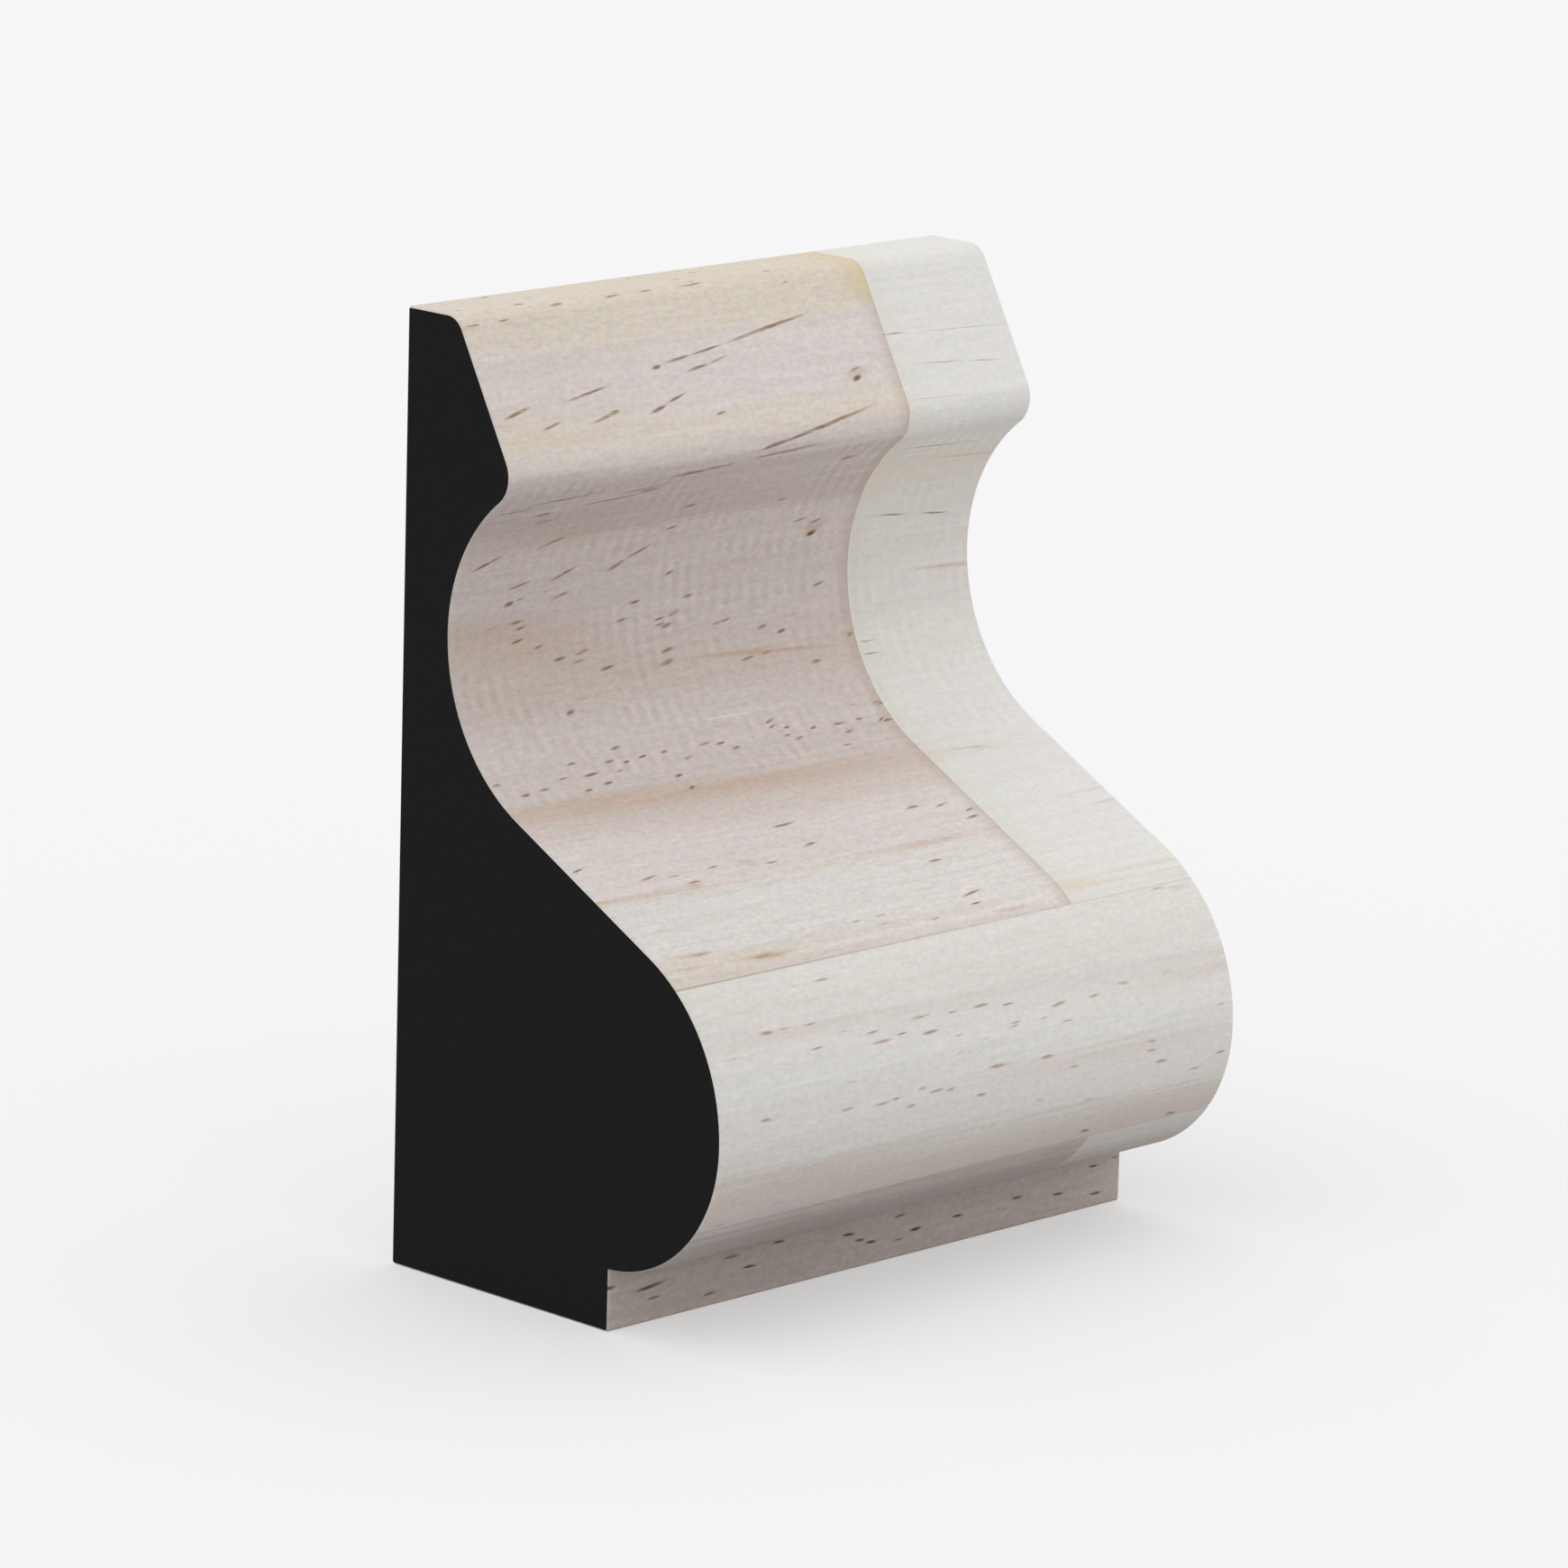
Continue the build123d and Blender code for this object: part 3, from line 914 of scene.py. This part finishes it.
            # The most is kept as it goes, so that the shader never holds many marks at a time
            nearest = 0.0
            for ends_and_width in PINE_MARKS[ink]:
                near = GrainMark(*ends_and_width).nearness(tree, frayed)
                nearest = add_node(tree, "Math", {0: near, 1: nearest}, operation="MAXIMUM")
            for tone, edge in ((look.rim, 0.0), (look.core, self.core_edge)):
                cover = add_node(tree, "MapRange", {
                    "Value": nearest, "From Min": edge, "From Max": edge + look.softness * (1 - edge),
                    "To Max": look.strength}, interpolation_type="SMOOTHSTEP")
                cover = add_node(tree, "Math", {0: cover, 1: broken}, operation="MULTIPLY")
                colour = add_node(tree, "Mix", {"Factor": cover, "A": colour, "B": linear(tone)}, **COLOURS)
        return colour

    def raise_relief(self, wood: WoodPlace, canals: NodeSocket, knife: NodeSocket) -> NodeSocket:
        """Raise the fibre and the knife marks and sink the canals, in millimetres of relief.

        Args:
            wood: The place on the moulding.
            canals: The canals, from nought to one.
            knife: The knives' ripples, from minus one to one.

        Returns:
            The surface's normal.
        """
        relief = 0.0
        for form, rise in ((knife, self.knife_relief), (wood.fibre, self.fibre_relief),
                           (canals, self.canal_relief)):
            relief = add_node(wood.tree, "Math", {0: form, 1: rise, 2: relief}, operation="MULTIPLY_ADD")
        return add_node(wood.tree, "Bump", {"Height": relief, "Distance": MM, "Strength": 1.0})


@dataclass(frozen=True)
class SealedEnd:
    """Black end sealer brushed on sawn end grain: a thin dead-flat coat."""

    # A matt sealer gives the eye a deep even black, with a fine stipple and no reflection
    name: str = "black_end_sealer"
    coat: str = "#181818"
    thin_coat: str = "#212121"
    stipple: float = 0.35
    stipple_relief: float = 0.03
    roughness: float = 0.85
    specular: float = 0.1

    def material(self) -> Material:
        """Build the material.

        Returns:
            The finished material.
        """
        material, tree = new_material(self.name)
        spot = add_node(tree, "TexCoord", out="Object")
        grain = add_node(tree, "TexNoise", {
            "Vector": spot, "Scale": 1 / (self.stipple * MM), "Detail": 3.0, "Roughness": 0.6})
        colour = add_node(tree, "Mix", {
            "Factor": grain, "A": linear(self.coat), "B": linear(self.thin_coat)}, **COLOURS)
        normal = add_node(tree, "Bump", {
            "Height": grain, "Distance": self.stipple_relief * MM, "Strength": 1.0})
        shader = add_node(tree, "BsdfPrincipled", {
            "Base Color": colour, "Roughness": self.roughness, "Normal": normal,
            "Specular IOR Level": self.specular})
        add_node(tree, "OutputMaterial", {"Surface": shader})
        return material


@dataclass
class InlayMoulding:
    """The one piece of the object, a run of the moulding's section between two sawn ends."""

    section: MouldingSection
    glue: GlueLines
    # Corners of the solid's box, in metres
    low: Vector
    high: Vector
    end_ease: float = 0.12
    arc_step_deg: float = 2.5
    least_arc_steps: int = 3
    merge_gap: float = 0.04
    smooth_deg: float = 30.0
    # A face is an end where its normal lies along X past the first, and a side under the second
    end_facing: float = 0.9
    side_facing: float = 0.5

    def at(self, x: float, point: Vector) -> Vector:
        """Turn a point of the section at x along the length, in millimetres, into a place in metres."""
        return Vector((x, self.high.y / MM - point.x, point.y)) * MM

    def build(self) -> Object:
        """Model the moulding and dress it.

        Returns:
            The finished piece, riding on its body in the place of the solid.
        """
        piece = self.draw_outline()
        self.push_along(piece)
        self.ease_ends(piece)
        self.score_joints(piece)
        self.dress(piece)
        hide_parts(NODE)
        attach(piece, BODY)
        return piece

    def draw_outline(self) -> Object:
        """Draw the section at the near end by extruding and spinning one point, and fill it.

        Returns:
            The piece, which is one face so far.
        """
        x = self.low.x / MM + self.end_ease
        bpy.ops.object.select_all(action="DESELECT")
        bpy.ops.mesh.primitive_plane_add(size=MM)
        piece = bpy.context.object
        piece.name = piece.data.name = "pine_moulding"
        bpy.ops.object.mode_set(mode="EDIT")
        bpy.ops.mesh.select_mode(type="VERT")
        bpy.ops.mesh.select_all(action="SELECT")
        bpy.ops.mesh.merge(type="CENTER")
        pen = self.at(x, self.section.start())
        bpy.ops.transform.translate(value=pen)
        for stroke in self.section.strokes():
            end = self.at(x, stroke.end)
            if stroke.centre is None:
                bpy.ops.mesh.extrude_region_move(TRANSFORM_OT_translate={"value": end - pen})
            else:
                self.spin_arc(pen, end, self.at(x, stroke.centre))
            pen = end
        bpy.ops.mesh.select_all(action="SELECT")
        bpy.ops.mesh.remove_doubles(threshold=self.merge_gap * MM)
        bpy.ops.mesh.edge_face_add()
        bpy.ops.object.mode_set(mode="OBJECT")
        return piece

    def spin_arc(self, start: Vector, end: Vector, centre: Vector) -> None:
        """Spin the selected point about a centre, the shorter way round.

        Args:
            start: Where the point is.
            end: Where it goes.
            centre: The arc's centre.
        """
        bearings = [math.atan2(*(place - centre).zy) for place in (start, end)]
        turn = (bearings[1] - bearings[0] + math.pi) % math.tau - math.pi
        steps = max(self.least_arc_steps, math.ceil(abs(math.degrees(turn)) / self.arc_step_deg))
        # With no window spin turns left-handed, so the angle's sign is changed
        bpy.ops.mesh.spin(steps=steps, angle=-turn, center=centre, axis=(1, 0, 0))

    def push_along(self, piece: Object) -> None:
        """Push the section along X to the far end.

        Args:
            piece: The piece with its one face.
        """
        run = self.high.x - self.low.x - 2 * self.end_ease * MM
        select_faces(piece, lambda face: True)
        bpy.ops.mesh.extrude_region_move(TRANSFORM_OT_translate={"value": (run, 0, 0)})
        bpy.ops.mesh.select_all(action="SELECT")
        bpy.ops.mesh.normals_make_consistent(inside=False)
        bpy.ops.object.mode_set(mode="OBJECT")

    def ease_ends(self, piece: Object) -> None:
        """Raise each sawn end to its full length behind a fine eased arris.

        Args:
            piece: The pushed piece.
        """
        ease = self.end_ease * MM
        for side in (-1, 1):
            select_faces(piece, lambda face: face.normal.x * side > self.end_facing)
            bpy.ops.mesh.inset(thickness=ease, depth=ease, use_boundary=True)
            bpy.ops.object.mode_set(mode="OBJECT")

    def score_joints(self, piece: Object) -> None:
        """Score the hairlines where the blocks of the blank are glued.

        Args:
            piece: The piece with its ends eased.
        """
        upper, lower = self.glue.upper_height * MM, self.glue.lower_height * MM
        rebate = self.section.rebate_height * MM
        joint = Vector((self.glue.joint_x * MM, 0, 0))
        up, along = Vector((0, 0, 1)), Vector((1, 0, 0))
        for height in (upper, lower):
            self.score(piece, up * height, up, lambda face: abs(face.normal.x) < self.side_facing)
        self.score(piece, joint, along, lambda face: face.center.z > upper)
        self.score(piece, joint, along, lambda face: rebate < face.center.z < lower)

    def score(self, piece: Object, place: Vector, across: Vector,
              chosen: Callable[[MeshPolygon], bool]) -> None:
        """Cut one fine groove: two borders, then a middle line that is pressed in.

        Args:
            piece: The piece to cut.
            place: A point on the groove's middle plane.
            across: The direction across the groove.
            chosen: Says which faces the groove may cut.
        """
        half = self.glue.score_width * MM / 2
        for border in (-half, half):
            select_faces(piece, lambda face: abs(face.normal.x) < self.side_facing and chosen(face))
            bpy.ops.mesh.bisect(plane_co=place + across * border, plane_no=across)
            bpy.ops.object.mode_set(mode="OBJECT")
        middle = place.dot(across)
        select_faces(piece, lambda face: chosen(face) and abs(face.center.dot(across) - middle) < half)
        bpy.ops.mesh.bisect(plane_co=place, plane_no=across)
        bpy.ops.transform.shrink_fatten(value=-self.glue.score_depth * MM)
        bpy.ops.object.mode_set(mode="OBJECT")

    def dress(self, piece: Object) -> None:
        """Give the planed faces and the sealed ends their finishes, and smooth the curves.

        Args:
            piece: The modelled piece.
        """
        for finish in (PlanedPine(self.section.height), SealedEnd()):
            piece.data.materials.append(finish.material())
        select_faces(piece, lambda face: abs(face.normal.x) > self.end_facing)
        piece.active_material_index = 1
        bpy.ops.object.material_slot_assign()
        bpy.ops.object.mode_set(mode="OBJECT")
        bpy.ops.object.shade_smooth_by_angle(angle=math.radians(self.smooth_deg))


@dataclass(frozen=True)
class Studio:
    """A pale seamless floor under an even dome of soft light."""

    floor_colour: str = "#F6F6F6"
    bounce_colour: str = "#B3B3B3"
    backdrop_colour: str = "#F7F7F7"
    dome_colour: str = "#FFFFFF"
    dome_strength: float = 1.0
    floor_lift: float = 0.44
    floor_half: float = 2000.0

    def build(self) -> None:
        """Make the floor and the world."""
        self.lay_floor()
        self.light_dome()

    @staticmethod
    def seen_rays(tree: NodeTree) -> NodeSocket:
        """Find the rays that show the background, straight or in a reflection or through glass.

        Args:
            tree: The tree that asks.

        Returns:
            One for such a ray and nought for a ray that only carries light.
        """
        rays = add_node(tree, "LightPath").node.outputs
        seen = rays["Is Camera Ray"]
        for kind in ("Is Glossy Ray", "Is Transmission Ray"):
            seen = add_node(tree, "Math", {0: seen, 1: rays[kind]}, operation="MAXIMUM")
        return seen

    def lay_floor(self) -> None:
        """Lay the floor."""
        bpy.ops.object.select_all(action="DESELECT")
        bpy.ops.mesh.primitive_plane_add(size=2 * self.floor_half * MM)
        floor = bpy.context.object
        floor.name = "floor"
        # A matt floor gives the eye an even pale ground with a soft shadow and no gloss
        material, tree = new_material("matt_floor")
        seen = self.seen_rays(tree)
        colour = add_node(tree, "Mix", {
            "Factor": seen, "A": linear(self.bounce_colour), "B": linear(self.floor_colour)}, **COLOURS)
        shader = add_node(tree, "BsdfDiffuse", {"Color": colour})
        # Where it is seen it is partly its own backdrop, which keeps the shadow but lightens it
        glow = add_node(tree, "Emission", {"Color": linear(self.backdrop_colour)})
        lift = add_node(tree, "Math", {0: seen, 1: self.floor_lift}, operation="MULTIPLY")
        shader = add_node(tree, "MixShader", {0: lift, 1: shader, 2: glow})
        add_node(tree, "OutputMaterial", {"Surface": shader})
        floor.data.materials.append(material)

    def light_dome(self) -> None:
        """Light the scene evenly from all round, with the backdrop's colour seen behind."""
        world = bpy.data.worlds.new("soft_dome")
        bpy.context.scene.world = world
        world.use_nodes = True
        tree = world.node_tree
        tree.nodes.clear()
        dome = add_node(tree, "Background", {
            "Color": linear(self.dome_colour), "Strength": self.dome_strength})
        seen = add_node(tree, "Background", {"Color": linear(self.backdrop_colour)})
        mixed = add_node(tree, "MixShader", {0: self.seen_rays(tree), 1: dome, 2: seen})
        add_node(tree, "OutputWorld", {"Surface": mixed})


@dataclass(frozen=True)
class PhotoCamera:
    """The camera, from the front left and a little above, with a long lens and a slight roll."""

    azimuth_deg: float = -45.46
    elevation_deg: float = 12.97
    roll_deg: float = 1.61
    distance: float = 557.6
    focal_px: float = 9107.9
    right_of_middle: float = -2.92
    above_middle: float = -0.36
    clip_near: float = 10.0
    clip_far: float = 20000.0

    def build(self, middle: Vector) -> None:
        """Make the camera and look at the moulding.

        Args:
            middle: The middle of the moulding's box, in metres.
        """
        azimuth, elevation = math.radians(self.azimuth_deg), math.radians(self.elevation_deg)
        level = math.cos(elevation)
        back = Vector((math.sin(azimuth) * level, -math.cos(azimuth) * level, math.sin(elevation)))
        right = Vector((0, 0, 1)).cross(back).normalized()
        up = back.cross(right)
        aim = middle + (right * self.right_of_middle + up * self.above_middle) * MM
        data = bpy.data.cameras.new("photo_camera")
        data.lens = self.focal_px / PHOTO_PX * data.sensor_width
        data.clip_start, data.clip_end = self.clip_near * MM, self.clip_far * MM
        camera = bpy.data.objects.new("photo_camera", data)
        bpy.context.scene.collection.objects.link(camera)
        turned = Matrix((right, up, back)).transposed().to_4x4()
        roll = Matrix.Rotation(math.radians(self.roll_deg), 4, "Z")
        camera.matrix_world = Matrix.Translation(aim + back * self.distance * MM) @ turned @ roll
        bpy.context.scene.camera = camera


def main() -> None:
    """Build the moulding, the studio and the camera in order, and report each piece."""
    logging.basicConfig(level=logging.INFO, format="%(name)s: %(message)s")
    low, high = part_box(NODE)
    size = (high - low) / MM
    moulding = InlayMoulding(MouldingSection(size.y, size.z), GLUE, low, high)
    piece = moulding.build()
    LOG.info("%s: %d faces", piece.name, len(piece.data.polygons))
    Studio().build()
    PhotoCamera().build((low + high) / 2)
    bpy.context.scene.view_settings.view_transform = "Standard"


if __name__ == "__main__":
    main()
